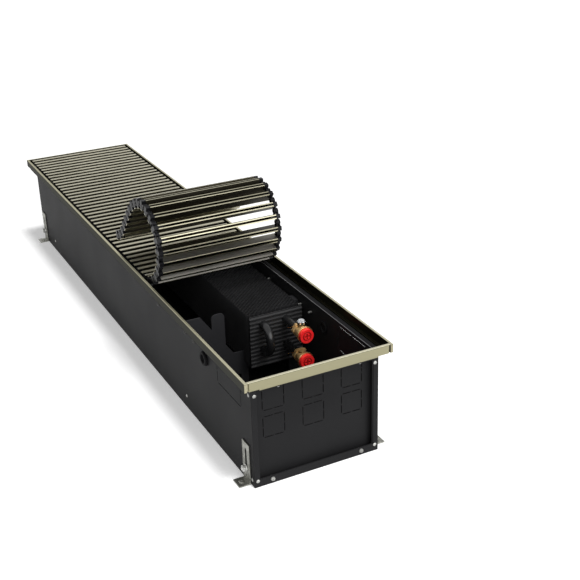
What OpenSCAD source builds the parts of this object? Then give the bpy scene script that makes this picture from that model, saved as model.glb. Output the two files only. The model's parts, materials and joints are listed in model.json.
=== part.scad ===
// Trench convector heater with a roll-up grille, shown rolled back over the connection bay.
// X is the width, Y the length with the connection end at -Y, Z is up from the floor.
// The origin is on the floor under the middle of the trench. All sizes are in millimetres.

/* [Trench casing] */
// Length of the sheet casing, outside
casing_l = 1200; // [1000:20:2000]
// Width of the sheet casing, outside
casing_w = 218; // [200:2:320]
// Height from the floor to the top of the frame
frame_h = 194; // [180:1:260]
// Thickness of the casing sheet
sheet = 1.5; // [1:0.1:2]
// Depth by which the end plates stand back from the casing ends
end_recess = 12; // [8:1:16]
// Width of the folded strip on each side wall's end
end_return = 9; // [6:0.5:12]
// Height of the folded lip on each end of the floor
end_lip_h = 13; // [8:0.5:18]

/* [Frame] */
// Overhang of the frame past the casing, all round
overhang = 16; // [14:0.5:20]
// Height of the visible outer face
face_h = 15; // [12:0.5:17]
// Width of the bright top edge
head_w = 4.5; // [3.5:0.5:6]
// Set-back of the rails' feet behind their outer faces
foot_back = 2.7; // [2:0.1:3.3]
// Reach of the rails' feet from the outer faces
foot_reach = 8.5; // [7:0.5:9]
// Thickness of the rails' feet
foot_thick = 3; // [2:0.5:4]
// Set-back of the end rails' faces at the corners
corner_gap = 2.8; // [1:0.2:4]

/* [Roll-up grille] */
// Distance from slat to slat
pitch = 20; // [19:0.5:24]
// Width of a slat's top face
slat_w = 8; // [6:0.5:9]
// Height of a slat
slat_h = 18; // [15:0.5:22]
// Wall of the slat channel
slat_t = 1.3; // [1:0.1:1.6]
// Width of the toe along each leg's lower edge
slat_toe = 2; // [1.4:0.1:2.4]
// Gap between a slat's end and the frame
slat_side_gap = 5.5; // [3:0.5:8]
// Length of an end link
link_l = 7.8; // [7:0.2:10]
// Diameter of the hinge bosses
boss_d = 10; // [8:0.5:10.5]
// Diameter of the hinge pin
pin_d = 3; // [2.4:0.2:4]
// Play between hinge pin and eye, on diameter
pin_play = 0.3; // [0.2:0.05:0.5]
// Play between the fork and the tongue of two links
fork_play = 0.3; // [0.2:0.05:0.5]
// Gap under the grille where it lies in the frame
rest_gap = 0.3; // [0.2:0.1:0.5]
// Depth of the slats' tops below the frame's top
top_gap = 0.2; // [0.1:0.1:1]

/* [Rolled part of the grille] */
// Number of links that start to lift
lift_links = 4; // [2:1:5]
// Turn of each lifting link, in degrees
lift_turn = 10.4; // [8:0.2:12]
// Number of links round the roll
round_links = 9; // [7:1:10]
// Turn of each link round the roll, in degrees
round_turn = 17; // [15:0.5:18]
// Number of links that open out again
open_links = 3; // [2:1:5]
// Turn of each opening link, in degrees
open_turn = 10; // [6:0.5:12]
// Turn of each link in the straight tail, in degrees
tail_turn = 0.9; // [0.3:0.1:1.5]
// Number of links that flare out at the free end
flare_links = 2; // [1:1:3]
// Turn back of each flaring link, in degrees
flare_turn = 18; // [6:1:20]

/* [Heat exchanger] */
// Distance from the casing's connection end to the exchanger
exchanger_start = 236; // [200:2:300]
// Distance from the exchanger to the casing's far end
exchanger_end = 68; // [56:2:120]
// Width of the exchanger
exchanger_w = 100; // [80:2:104]
// Height of the exchanger
exchanger_h = 97; // [80:1:100]
// Height of the exchanger above the floor
exchanger_z = 63; // [50:1:70]
// Gap between the exchanger and the right side wall
exchanger_gap = 7.5; // [5:0.5:12]
// Distance from fin to fin
fin_pitch = 9; // [7:0.5:14]
// Thickness of a fin
fin_t = 0.8; // [0.6:0.1:1.2]
// Number of corrugations on each end fin
wave_count = 13; // [8:1:16]
// Depth of the corrugations
wave_depth = 3; // [2:0.5:4]
// Outside diameter of the water tubes
tube_d = 15; // [12:0.5:16]
// Wall of the water tubes
tube_t = 1; // [0.8:0.1:1.2]
// Distance between tubes across the trench
tube_dx = 44; // [40:1:50]
// Distance between tubes in height
tube_dz = 48; // [40:1:52]
// Distance of the left tubes from the exchanger's left side
tube_inset = 25; // [22:1:30]
// Height of the tubes' middle above the exchanger's middle
tube_rise = 6.5; // [0:0.5:10]

/* [Water connections] */
// Length of tube that stands out of the exchanger to the union nuts
stub_l = 42; // [36:1:48]
// Width across flats of the union nuts
nut_af = 22; // [20:1:23]
// Length of the union nuts
nut_l = 8; // [7:1:10]
// Diameter of the tee body
tee_d = 22; // [21:0.5:24]
// Length of the tee body between nut and flange
tee_l = 16; // [15:1:20]
// Diameter of the tee's front flange
tee_flange_d = 29; // [26:1:31]
// Thickness of the tee's front flange
tee_flange_t = 4; // [3:0.5:5]
// Diameter of the socket in the tee's front
socket_d = 17; // [16:0.5:17.5]
// Depth of the socket
socket_l = 7.5; // [6:0.5:8.5]
// Diameter of the tee's upper boss
top_boss_d = 12; // [11:0.5:13]
// Wall of the upper boss
boss_wall = 2.5; // [2:0.25:3]
// Height of the tee's upper boss above the pipe centre
top_boss_h = 12.5; // [12:0.5:14]
// Diameter of the dust caps
cap_d = 25; // [23:1:27]
// Length of a dust cap in front of the flange
cap_l = 6; // [5:0.5:8]
// Wall of a dust cap's hollow plug
cap_wall = 2; // [1.5:0.25:2.5]
// Thickness of the dust caps' faces
cap_face = 2.5; // [2:0.5:3]
// Diameter of the air vent
vent_d = 15.5; // [14:0.5:16]

/* [Feet] */
// Distance of each foot's centre from the casing end
foot_inset = 24; // [18:1:40]
// Width of a foot
foot_w = 24; // [20:1:30]
// Height of a foot above its clamp bolt's highest place
foot_edge = 14; // [10:1:24]
// Length of a foot's floor tab
foot_tab = 20; // [16:1:30]
// Thickness of a foot
foot_t = 2; // [1.5:0.5:3]
// Height of the clamp bolt above the floor
bolt_z = 25; // [22:1:35]
// Diameter of the clamp bolts
bolt_d = 6; // [5:1:8]
// Travel of a foot down its slot
foot_travel = 31; // [20:1:40]

/* [Wall details] */
// Side of the square knock-outs
ko_square = 37; // [30:1:40]
// Distance of the outer squares from the casing's side
ko_side = 23; // [14:1:26]
// Distance from square to square in height
ko_dz = 47; // [42:1:52]
// Distance of the upper squares below the casing's top
ko_top = 15.5; // [8:0.5:20]
// Width of the cut lines round the knock-outs
ko_cut = 1; // [0.8:0.1:1.5]
// Width of the webs that hold the knock-outs
ko_web = 3; // [2:0.5:5]
// Diameter of the cable grommets' necks
grommet_d = 20; // [16:1:24]
// Diameter of the grommets' collars
grommet_collar_d = 25; // [20:1:28]
// Diameter of the rivets
rivet_d = 3.2; // [2.4:0.2:4]

/* [Hidden] */
$fn = 32;

// clearances
running_gap = 0.3;      // between pieces that move on each other
hole_play = 0.2;        // round a fastener's shank, on diameter
seat_play = 0.1;        // between a piece and what it fits between

// casing
half_w = casing_w / 2;
half_l = casing_l / 2;
seat_depth = slat_h + rest_gap + top_gap;
wall_top = frame_h - seat_depth;    // the grille rests on the side walls' flanges
flange_half = half_w + overhang - foot_back;
inner_w = casing_w - 2 * sheet;
plate_y = half_l - end_recess;
frame_w = casing_w + 2 * overhang;
frame_l = casing_l + 2 * overhang;

// grille
slat_z = wall_top + rest_gap + slat_h / 2;
slat_half = frame_w / 2 - head_w - slat_side_gap;
leg_half = slat_half - link_l;
slat_count = floor((frame_l - 2 * head_w) / pitch);
first_slat_y = -(slat_count - 1) / 2 * pitch;
roll_count = 22;        // slats in the rolled part, each a sub-part of its own
tail_links = roll_count - lift_links - round_links - open_links - flare_links;
zones = [[lift_links, lift_turn], [round_links, round_turn], [open_links, open_turn],
    [tail_links, tail_turn], [flare_links, -flare_turn]];
turns = [for (zone = zones) for (i = [1:zone[0]]) zone[1]];
hinge_y = first_slat_y + (roll_count - 0.5) * pitch;

// exchanger
near_y = -half_l + exchanger_start;
far_y = half_l - exchanger_end;
exchanger_l = far_y - near_y;
exchanger_x = inner_w / 2 - exchanger_gap - exchanger_w;
tube_x = [exchanger_x + tube_inset, exchanger_x + tube_inset + tube_dx];
tube_middle = exchanger_z + exchanger_h / 2 + tube_rise;
tube_z = [tube_middle - tube_dz / 2, tube_middle + tube_dz / 2];
sleeve_t = 1;           // collar of the fins round a tube
sleeve_d = tube_d + 2 * sleeve_t;
bend_r = tube_dz / 2;
bend_far_r = tube_dx / 2;

// water connections, along -Y from the exchanger
nut_y = near_y - stub_l - nut_l;
tee_y = nut_y - tee_l;
flange_y = tee_y - tee_flange_t;
boss_y = nut_y - top_boss_d / 2;
boss_bore = top_boss_d - 2 * boss_wall;
thread_l = 6;
cap_room = 1;           // behind a cap's plug
cap_y = flange_y - running_gap - cap_l;
plug_head_h = 2.5;
vent_base_h = 3.5;
vent_body_h = 5;
vent_screw_h = 1;
vent_socket_d = 8;
vent_socket_h = 4;

// brackets under the exchanger
bracket_t = 2;
bracket_inset = 30;
bracket_foot = 20;
bracket_ear = [bracket_foot / 2, 34];
arm_w = 24;
arm_x = exchanger_x - 33 - arm_w;
arm_top = wall_top - 9;
arm_round = 8;
shoulder = [-half_w + 32, wall_top - 7.5];      // where the plate starts to slope down, X and Z
bar_top = exchanger_z + 22.5;
clamp_top = exchanger_z + exchanger_h - 2;      // right of the exchanger
window_z = 16;          // lower edge of the windows under the exchanger and the air channel
window_edge = 14;       // metal beside the windows, and above the right one

// feet
foot_gap = running_gap;
foot_y = half_l - foot_inset;
foot_h = bolt_z + foot_travel + foot_edge;
tab_hole_d = 6.5;
spare_hole = [4, 11];   // diameter, and height above the floor
slot_w = bolt_d + 2 * running_gap;
slot_low = bolt_z - running_gap;
slot_high = bolt_z + foot_travel + running_gap;
bolt_af = bolt_d + 4;
bolt_head_h = 4;
washer_t = 1.2;
nut_h = 5;
bolt_end = 2;           // how far a bolt stands out of its nut

// -------------------------------------------------- helpers

// a copy on each side of the trench's middle line
module both_sides() { for (s = [0, 1]) mirror([s, 0, 0]) children(); }
// a copy at each end of the trench
module both_ends() { for (s = [0, 1]) mirror([0, s, 0]) children(); }
// a rod from the origin along +X
module rod_x(d, l) { rotate([0, 90, 0]) cylinder(d = d, h = l); }
// a rod from the origin along +Y
module rod_y(d, l) { rotate([-90, 0, 0]) cylinder(d = d, h = l); }
// a plane outline in Y and Z, drawn out along X from x0 to x1
module slab_x(x0, x1) { translate([x0, 0, 0]) rotate([90, 0, 90]) linear_extrude(x1 - x0) children(); }
// a plane outline in X and Z, drawn out along Y from y0 to y1
module slab_y(y0, y1) { translate([0, y1, 0]) rotate([90, 0, 0]) linear_extrude(y1 - y0) children(); }

// broken cut lines round a knock-out of size w by h, lower left corner at the origin
module cut_outline(w, h) {
    run_w = (w - 3 * ko_web) / 2;
    run_h = (h - 3 * ko_web) / 2;
    for (i = [0, 1]) {
        for (v = [0, h - ko_cut]) translate([ko_web + i * (run_w + ko_web), v]) square([run_w, ko_cut]);
        for (u = [0, w - ko_cut]) translate([u, ko_web + i * (run_h + ko_web)]) square([ko_cut, run_h]);
    }
}

// -------------------------------------------------- casing

ko_dx = half_w - ko_side - ko_square / 2;
ko_z = wall_top - ko_top - ko_square - ko_dz;
side_ko = [-half_l + 36, wall_top - 51.5, 88, 44];      // y, z, length and height of the side knock-out
grommet_pos = [-half_l + 172, wall_top - 31.5];         // y and z
side_screws = [for (y = [217, 255, 380]) [-half_l + y, wall_top - 21.5]];
side_screw_d = 4;
side_screw_l = sheet + exchanger_gap - 1.5;
lip_screw_l = 8;
frame_screw_d = 3;
ear_rivet = [5, 24];                        // from the bracket's face, and above the floor
bracket_rivets = [[near_y + bracket_inset + ear_rivet[0], ear_rivet[1]],
    [far_y - bracket_inset - ear_rivet[0], ear_rivet[1]]];
end_rivet_z = [11, wall_top - 16];
side_rivet_y = 8;
strip_rivet_x = half_w - end_return + 3;
lip_screw = [half_w - 31, end_lip_h / 2 + 1];
strip_w = 24;
strip_t = 1.2;
frame_screw_y = [-half_l + 60, -half_l + 420, half_l - 420, half_l - 60];
frame_screw_x = half_w - 40;                // on the end rails
frame_screw_in = (foot_back + foot_reach) / 2;

module trough() {
    color("#2c2c2e") difference() {
        union() {
            translate([-half_w, -half_l, 0]) cube([casing_w, casing_l, sheet]);
            both_sides() {
                translate([half_w - sheet, -half_l, 0]) cube([sheet, casing_l, wall_top]);
                translate([half_w - sheet, -half_l, wall_top - sheet])
                    cube([flange_half - half_w + sheet, casing_l, sheet]);
                both_ends() translate([half_w - end_return, -half_l, 0]) cube([end_return, sheet, wall_top]);
            }
            both_ends() translate([-half_w, -half_l, 0]) cube([casing_w, sheet, end_lip_h]);
        }
        both_sides() {
            // side knock-out
            translate([0, side_ko[0], side_ko[1]])
                slab_x(half_w - 2 * sheet, half_w + sheet) cut_outline(side_ko[2], side_ko[3]);
            // grommet
            translate([half_w - 2 * sheet, grommet_pos[0], grommet_pos[1]]) rod_x(grommet_d, 3 * sheet);
            for (p = side_screws)
                translate([half_w - 2 * sheet, p[0], p[1]]) rod_x(side_screw_d + hole_play, 3 * sheet);
            for (p = bracket_rivets)
                translate([half_w - 2 * sheet, p[0], p[1]]) rod_x(rivet_d + hole_play, 3 * sheet);
            for (y = frame_screw_y) translate([frame_w / 2 - frame_screw_in, y, wall_top - 2 * sheet])
                cylinder(d = frame_screw_d + hole_play, h = 3 * sheet);
            both_ends() {
                translate([half_w - 2 * sheet, -foot_y, bolt_z]) rod_x(bolt_d + hole_play, 3 * sheet);
                for (z = end_rivet_z) {
                    translate([half_w - 2 * sheet, -half_l + side_rivet_y, z])
                        rod_x(rivet_d + hole_play, 3 * sheet);
                    translate([strip_rivet_x, -half_l - sheet, z]) rod_y(rivet_d + hole_play, 3 * sheet);
                }
                translate([lip_screw[0], -half_l - sheet, lip_screw[1]])
                    rod_y(side_screw_d + hole_play, 3 * sheet);
            }
        }
    }
}

shelf_half = half_w - end_return - seat_play;

// pan-shaped end plate, its flanges folded towards the outside
module end_plate() {
    pan_w = inner_w;
    reach = end_recess - sheet;
    y0 = -half_l + sheet;
    shelf_y = -frame_l / 2 + foot_back;
    difference() {
        union() {
            translate([-pan_w / 2, -plate_y, sheet]) cube([pan_w, sheet, wall_top - sheet]);
            both_sides() {
                translate([pan_w / 2 - sheet, y0, sheet]) cube([sheet, reach, wall_top - sheet]);
                translate([pan_w / 2 - end_return, y0, sheet]) cube([end_return, sheet, wall_top - sheet]);
            }
            translate([-pan_w / 2, y0, wall_top - sheet]) cube([pan_w, reach, sheet]);
            // the top flange goes on between the side walls' strips and carries the end rail
            translate([-shelf_half, shelf_y, wall_top - sheet])
                cube([2 * shelf_half, sheet - plate_y - shelf_y, sheet]);
            translate([-pan_w / 2, y0, sheet]) cube([pan_w, reach, sheet]);
            translate([-pan_w / 2, y0, sheet]) cube([pan_w, sheet, end_lip_h - sheet]);
        }
        for (i = [-1:1]) for (j = [0, 1])
            translate([i * ko_dx - ko_square / 2, 0, ko_z + j * ko_dz])
                slab_y(-plate_y - sheet, -plate_y + 2 * sheet) cut_outline(ko_square, ko_square);
        both_sides() {
            for (z = end_rivet_z) {
                translate([strip_rivet_x, -half_l, z]) rod_y(rivet_d + hole_play, 4 * sheet);
                translate([half_w - 3 * sheet, -half_l + side_rivet_y, z])
                    rod_x(rivet_d + hole_play, 3 * sheet);
            }
            translate([lip_screw[0], -half_l, lip_screw[1]]) rod_y(side_screw_d + hole_play, 4 * sheet);
            translate([frame_screw_x, -frame_l / 2 + frame_screw_in, wall_top - 2 * sheet])
                cylinder(d = frame_screw_d + hole_play, h = 3 * sheet);
        }
    }
}
module end_plate_near() { color("#303032") end_plate(); }
module end_plate_far() { color("#303032") mirror([0, 1, 0]) end_plate(); }

// rail: a head with the visible face, and a foot that is screwed down on the casing
edge_cut = 0.6;         // broken edge between the face and the head
head_t = 1.5;           // thickness of the head where the end rails meet the long ones
face_low = frame_h - face_h;
module head_section() {
    polygon([[0, face_low], [head_w, face_low], [head_w, frame_h], [edge_cut, frame_h],
        [0, frame_h - edge_cut]]);
}
module foot_section() {
    polygon([[foot_back, wall_top], [foot_reach, wall_top], [foot_reach, wall_top + foot_thick],
        [head_w, wall_top + foot_thick], [head_w, face_low + 1], [foot_back, face_low + 1]]);
}
module long_rail() {
    difference() {
        translate([-frame_w / 2, 0, 0]) {
            slab_y(-frame_l / 2, frame_l / 2) head_section();
            slab_y(-half_l, half_l) foot_section();
        }
        for (y = frame_screw_y) translate([-frame_w / 2 + frame_screw_in, y, wall_top - 1])
            cylinder(d = frame_screw_d + hole_play, h = foot_thick + 0.5);
    }
}
module end_rail() {
    run = frame_w - 2 * head_w - 2 * seat_play;
    difference() {
        translate([0, -frame_l / 2, 0]) {
            intersection() {
                slab_x(-run / 2, run / 2) head_section();
                union() {
                    // the face is set back at the corners
                    translate([-run / 2, 0, frame_h - head_t]) cube([run, head_w, head_t]);
                    translate([-run / 2, foot_back, face_low]) cube([run, head_w - foot_back, face_h]);
                    translate([-run / 2 + corner_gap, 0, face_low])
                        cube([run - 2 * corner_gap, head_w, face_h]);
                }
            }
            slab_x(-shelf_half, shelf_half) foot_section();
        }
        both_sides() translate([frame_screw_x, -frame_l / 2 + frame_screw_in, wall_top - 1])
            cylinder(d = frame_screw_d + hole_play, h = foot_thick + 0.5);
    }
}
module rail_left() { color("#8f8a70") long_rail(); }
module rail_right() { color("#8f8a70") mirror([1, 0, 0]) long_rail(); }
module rail_near() { color("#8f8a70") end_rail(); }
module rail_far() { color("#8f8a70") mirror([0, 1, 0]) end_rail(); }

// blind rivet along +X: domed head outside the sheet, closed tail inside
module rivet(grip) {
    translate([-grip, 0, 0]) rod_x(rivet_d, grip);
    rotate([0, 90, 0]) intersection() {
        cylinder(d = 6, h = 1.2);
        translate([0, 0, -3.6]) sphere(r = 4.8);
    }
    translate([-grip - 1.2, 0, 0]) rod_x(rivet_d + 1, 1.2);
}
module casing_rivets() {
    color("#a9a9a7") both_sides() {
        for (p = bracket_rivets) translate([half_w, p[0], p[1]]) rivet(sheet + seat_play + bracket_t);
        both_ends() for (z = end_rivet_z) {
            translate([half_w, -half_l + side_rivet_y, z]) rivet(2 * sheet);
            translate([strip_rivet_x, -half_l, z]) rotate([0, 0, -90]) rivet(2 * sheet);
        }
    }
}
// pan-head screw along +X, its point inside
module pan_screw(d, l) {
    translate([-l, 0, 0]) rod_x(d, l);
    difference() {
        rotate([0, 90, 0]) cylinder(d1 = 2 * d, d2 = 1.4 * d, h = 0.55 * d);
        for (a = [0, 90]) rotate([a, 0, 0]) translate([0.35 * d, -0.6 * d, -0.1 * d])
            cube([d, 1.2 * d, 0.2 * d]);
    }
}
module frame_screw() { rotate([0, 90, 0]) pan_screw(frame_screw_d, sheet + foot_thick - 0.8); }
module casing_screws() {
    color("#b5b5b3") both_sides() {
        for (p = side_screws) translate([half_w, p[0], p[1]]) pan_screw(side_screw_d, side_screw_l);
        both_ends() translate([lip_screw[0], -half_l, lip_screw[1]])
            rotate([0, 0, -90]) pan_screw(side_screw_d, lip_screw_l);
        for (y = frame_screw_y) translate([frame_w / 2 - frame_screw_in, y, wall_top - sheet]) frame_screw();
        both_ends() translate([frame_screw_x, -frame_l / 2 + frame_screw_in, wall_top - sheet]) frame_screw();
    }
}
// blind rubber grommet in a side wall
module cable_grommets() {
    neck = grommet_d / 2 - hole_play / 2;
    collar = grommet_collar_d / 2;
    lip = 3;
    color("#161616") both_sides() translate([half_w, grommet_pos[0], grommet_pos[1]]) rotate([0, 90, 0])
        rotate_extrude() polygon([[0, -sheet], [neck - 3, -sheet], [neck - 2, -sheet - lip],
            [collar - 1, -sheet - lip], [collar - 1, -sheet], [neck, -sheet], [neck, 0], [collar, 0],
            [collar, lip], [collar - 1.5, lip + 2], [neck - 2, lip + 2], [neck - 3, 0.5], [0, 0.5]]);
}
// strip that covers the joint of the two floor sheets
module floor_joint_strip() {
    color("#3a3a3c") translate([-inner_w / 2 + 2, -strip_w / 2, sheet]) cube([inner_w - 4, strip_w, strip_t]);
}

// -------------------------------------------------- heat exchanger

// cross plate that carries the exchanger, with an arm beside it and a foot on the floor
module bracket() {
    side = inner_w / 2 - seat_play;
    hook = exchanger_x - 0.5;
    clamp_x = exchanger_x + exchanger_w + 0.5;
    window_h = exchanger_z - window_z - window_edge;
    difference() {
        union() {
            slab_y(0, bracket_t) difference() {
                union() {
                    polygon([[-side, sheet], [-side, shoulder[1]], shoulder, [exchanger_x - 19, bar_top],
                        [hook, bar_top], [hook, exchanger_z], [clamp_x, exchanger_z],
                        [clamp_x, clamp_top], [side, clamp_top], [side, sheet]]);
                    translate([arm_x, bar_top - 1]) square([arm_w, arm_top - arm_round - bar_top + 1]);
                    translate([arm_x + arm_round, arm_top - arm_round - 1])
                        square([arm_w - 2 * arm_round, arm_round + 1]);
                    for (x = [arm_x + arm_round, arm_x + arm_w - arm_round])
                        translate([x, arm_top - arm_round]) circle(r = arm_round);
                }
                // windows for the air under the exchanger and beside it
                translate([exchanger_x + window_edge / 2, window_z])
                    square([exchanger_w - 1.5 * window_edge, window_h]);
                translate([-side + window_edge, window_z])
                    square([side + exchanger_x - 1.5 * window_edge, window_h - 7]);
            }
            translate([-side, 0, sheet]) cube([2 * side, bracket_foot, bracket_t]);
            // ears against the side walls
            both_sides() translate([side - bracket_t, 0, sheet])
                cube([bracket_t, bracket_ear[0], bracket_ear[1]]);
            // fold at the top of the part right of the exchanger
            translate([clamp_x, 0, clamp_top - bracket_t])
                cube([side - clamp_x, bracket_foot, bracket_t]);
            // shelf under the exchanger
            translate([exchanger_x + 2, 0, exchanger_z - bracket_t])
                cube([exchanger_w - 4, bracket_foot, bracket_t]);
        }
        both_sides() translate([half_w - 3 * sheet, ear_rivet[0], ear_rivet[1]])
            rod_x(rivet_d + hole_play, 4 * sheet);
    }
}
module bracket_near() { color("#3b3b3d") translate([0, near_y + bracket_inset, 0]) bracket(); }
module bracket_far() {
    color("#3b3b3d") translate([0, far_y - bracket_inset, 0]) mirror([0, 1, 0]) bracket();
}

fin_count = floor((exchanger_l - 2 * wave_depth - 8) / fin_pitch) + 1;
fin_start = near_y + (exchanger_l - (fin_count - 1) * fin_pitch - fin_t) / 2;

// cuts the four tube holes, or draws the four tubes
module at_tubes() { for (x = tube_x) for (z = tube_z) translate([x, 0, z]) children(); }

module fin_pack() {
    color("#1f1f20") difference() {
        union() {
            for (i = [0:fin_count - 1]) translate([exchanger_x, fin_start + i * fin_pitch, exchanger_z])
                cube([exchanger_w, fin_t, exchanger_h]);
            at_tubes() translate([0, fin_start, 0]) rod_y(sleeve_d, (fin_count - 1) * fin_pitch + fin_t);
        }
        at_tubes() translate([0, near_y, 0]) rod_y(tube_d + seat_play, exchanger_l);
    }
}
// end fin with horizontal corrugations, its outline in Y and Z
module end_fin() {
    step = exchanger_h / wave_count;
    front = [for (i = [0:wave_count - 1]) for (p = [[0, 0.15], [0, 0.45], [1, 0.65], [1, 0.95]])
        [p[0] * (wave_depth - fin_t), (i + p[1]) * step]];
    back = [for (i = [len(front) - 1:-1:0]) [front[i][0] + fin_t, front[i][1]]];
    difference() {
        translate([0, near_y, exchanger_z]) slab_x(exchanger_x, exchanger_x + exchanger_w)
            polygon(concat([[wave_depth - fin_t, 0]], front, [[wave_depth - fin_t, exchanger_h],
                [wave_depth, exchanger_h]], back, [[wave_depth, 0]]));
        at_tubes() translate([0, near_y - 1, 0]) rod_y(tube_d + seat_play, wave_depth + 2);
    }
}
module end_fin_near() { color("#242425") end_fin(); }
module end_fin_far() { color("#242425") translate([0, near_y + far_y, 0]) mirror([0, 1, 0]) end_fin(); }

tube_out = 4;       // how far a tube stands out to a return bend
module water_tubes() {
    color("#1c1c1d") difference() {
        union() for (i = [0, 1]) for (z = tube_z) {
            out = i == 1 ? stub_l + nut_l : tube_out;
            translate([tube_x[i], near_y - out, z]) rod_y(tube_d, exchanger_l + out + tube_out);
        }
        at_tubes() translate([0, near_y - stub_l - nut_l - 1, 0])
            rod_y(tube_d - 2 * tube_t, exchanger_l + stub_l + nut_l + tube_out + 2);
    }
}
// half ring of tube in the X-Y plane, opening towards +Y, centred between its two ends
module half_ring(r) {
    difference() {
        rotate([0, 0, 180]) rotate_extrude(angle = 180) translate([r, 0]) circle(d = tube_d);
        rotate([0, 0, 180]) rotate_extrude(angle = 180) translate([r, 0]) circle(d = tube_d - 2 * tube_t);
    }
}
module return_bend_near() {
    color("#2a2a2b") translate([tube_x[0], near_y - tube_out, (tube_z[0] + tube_z[1]) / 2])
        rotate([0, 90, 0]) half_ring(bend_r);
}
module return_bends_far() {
    color("#2a2a2b") for (z = tube_z) translate([(tube_x[0] + tube_x[1]) / 2, far_y + tube_out, z])
        rotate([0, 0, 180]) half_ring(bend_far_r);
}

// -------------------------------------------------- water connections

module union_nuts() {
    color("#b08a4a") for (z = tube_z) translate([tube_x[1], nut_y, z]) difference() {
        rotate([-90, 0, 0]) intersection() {
            cylinder(d = nut_af / cos(30), h = nut_l, $fn = 6);
            cylinder(d = nut_af * 1.1, h = nut_l);
        }
        translate([0, -1, 0]) rod_y(tube_d + hole_play, nut_l + 2);
    }
}
// tee: body along Y, boss upwards, flange with a socket in front
module tee() {
    difference() {
        union() {
            translate([0, tee_y, 0]) rod_y(tee_d, tee_l);
            translate([0, flange_y, 0]) rod_y(tee_flange_d, tee_flange_t);
            translate([0, boss_y, 0]) cylinder(d = top_boss_d, h = top_boss_h);
        }
        translate([0, flange_y - 1, 0]) {
            rod_y(tube_d - 2 * tube_t, tee_l + tee_flange_t + 2);
            rod_y(socket_d, socket_l + 1);
        }
        translate([0, boss_y, 0]) cylinder(d = boss_bore, h = top_boss_h + 1);
    }
}
module tee_upper() { color("#b58d4c") translate([tube_x[1], 0, tube_z[1]]) tee(); }
module tee_lower() { color("#b58d4c") translate([tube_x[1], 0, tube_z[0]]) tee(); }

// air vent: threaded shank, six-sided base and round body
module air_vent() {
    color("#d4d6d8") translate([tube_x[1], boss_y, tube_z[1] + top_boss_h]) difference() {
        union() {
            translate([0, 0, -thread_l]) cylinder(d = boss_bore - hole_play, h = thread_l);
            cylinder(d = vent_d - 2, h = vent_base_h, $fn = 6);
            translate([0, 0, vent_base_h]) cylinder(d = vent_d, h = vent_body_h);
            translate([0, 0, vent_base_h + vent_body_h / 2]) rotate([0, 0, 200]) rod_x(4, vent_d / 2 + 3);
        }
        translate([0, 0, vent_base_h + vent_body_h - vent_socket_h])
            cylinder(d = vent_socket_d, h = vent_socket_h + 1);
    }
}
// the vent's bleed screw, with a slot for a key
module air_vent_screw() {
    slot = 1.4;
    seat = tube_z[1] + top_boss_h + vent_base_h + vent_body_h - vent_socket_h + running_gap;
    color("#dfe1e3") translate([tube_x[1], boss_y, seat]) difference() {
        union() {
            cylinder(d = vent_socket_d - 2 * running_gap, h = vent_socket_h);
            translate([0, 0, vent_socket_h]) cylinder(d1 = vent_d - 3, d2 = vent_d - 6, h = vent_screw_h);
        }
        translate([-vent_d, -slot / 2, vent_socket_h + vent_screw_h - slot])
            cube([2 * vent_d, slot, 2 * slot]);
    }
}
// plug that closes the lower tee's boss
module blanking_plug() {
    color("#b58d4c") translate([tube_x[1], boss_y, tube_z[0] + top_boss_h]) difference() {
        union() {
            translate([0, 0, -thread_l]) cylinder(d = boss_bore - hole_play, h = thread_l);
            cylinder(d = top_boss_d + 3, h = plug_head_h);
        }
        translate([-top_boss_d, -1, plug_head_h / 2]) cube([2 * top_boss_d, 2, plug_head_h]);
    }
}
// dust cap: a hollow plug in the socket, and a face with a ring groove and a grip cross
cap_groove = [cap_d - 9.5, cap_d - 12.5, 1.5];  // outer and inner diameter, and depth
cap_cross = [cap_d - 15, 2.2, 1];               // length, width and depth
module dust_cap() {
    plug_d = socket_d - 2 * running_gap;
    translate([0, cap_y, 0]) difference() {
        union() {
            rod_y(cap_d, cap_l);
            rod_y(plug_d, cap_l + running_gap + socket_l - cap_room);
        }
        translate([0, cap_face, 0]) rod_y(plug_d - 2 * cap_wall, cap_l + running_gap + socket_l);
        difference() {
            translate([0, -1, 0]) rod_y(cap_groove[0], 1 + cap_groove[2]);
            translate([0, -2, 0]) rod_y(cap_groove[1], 4);
        }
        for (a = [0, 90]) rotate([0, a, 0]) translate([-cap_cross[0] / 2, -1, -cap_cross[1] / 2])
            cube([cap_cross[0], 1 + cap_cross[2], cap_cross[1]]);
    }
}
module dust_cap_upper() { color("#e0302c") translate([tube_x[1], 0, tube_z[1]]) dust_cap(); }
module dust_cap_lower() { color("#e0302c") translate([tube_x[1], 0, tube_z[0]]) dust_cap(); }

// -------------------------------------------------- feet

// foot at the near right corner: slotted upright and floor tab
module foot() {
    x0 = half_w + foot_gap;
    difference() {
        union() {
            translate([x0, -foot_y - foot_w / 2, 0]) cube([foot_t, foot_w, foot_h]);
            translate([x0, -foot_y - foot_w / 2, 0]) cube([foot_tab, foot_w, foot_t]);
        }
        translate([x0 - 1, 0, 0]) {
            for (z = [slot_low, slot_high]) translate([0, -foot_y, z]) rod_x(slot_w, foot_t + 2);
            translate([0, -foot_y - slot_w / 2, slot_low]) cube([foot_t + 2, slot_w, slot_high - slot_low]);
            translate([0, -foot_y, spare_hole[1]]) rod_x(spare_hole[0], foot_t + 2);
        }
        translate([x0 + (foot_t + foot_tab) / 2, -foot_y, -1]) cylinder(d = tab_hole_d, h = foot_t + 2);
    }
}
module foot_near_right() { color("#a4a49f") foot(); }
module foot_near_left() { color("#a4a49f") mirror([1, 0, 0]) foot(); }
module foot_far_right() { color("#a4a49f") mirror([0, 1, 0]) foot(); }
module foot_far_left() { color("#a4a49f") mirror([1, 0, 0]) mirror([0, 1, 0]) foot(); }
bolt_out = 2 * foot_gap + foot_t + washer_t + nut_h + bolt_end;
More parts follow.
